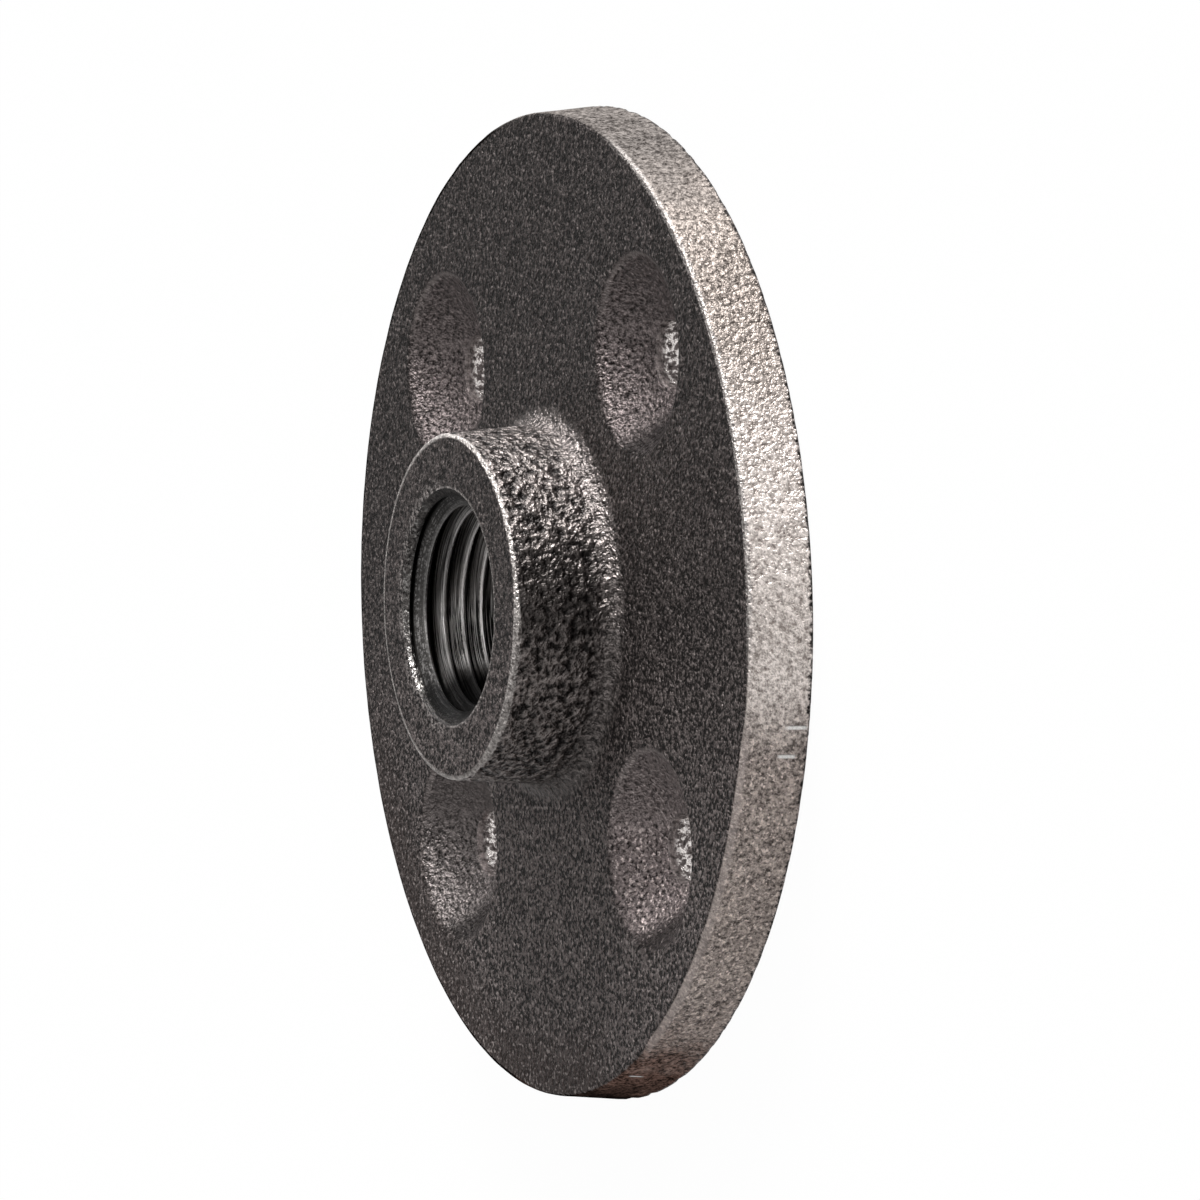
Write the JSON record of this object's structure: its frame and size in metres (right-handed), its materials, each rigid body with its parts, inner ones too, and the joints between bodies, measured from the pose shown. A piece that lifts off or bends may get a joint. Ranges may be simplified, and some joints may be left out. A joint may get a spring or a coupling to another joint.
{
  "type": "threaded floor flange",
  "caption": "Round cast-iron floor flange: a flat plate with a short hub threaded for a pipe and dished screw holes around it.",
  "frame": {"origin": "centre of the plate's back face, on the bore's axis", "axes": "+Z along the bore, from the back face towards the hub's end; +X and +Y lie midway between screw holes"},
  "size_m": [0.09, 0.09, 0.0155],
  "materials": {
    "casting": "black as-cast skin with fine sand grain, worn bright at the edges"
  },
  "bodies": {
    "root": {"floor_flange": "casting"}
  },
  "joints": []
}
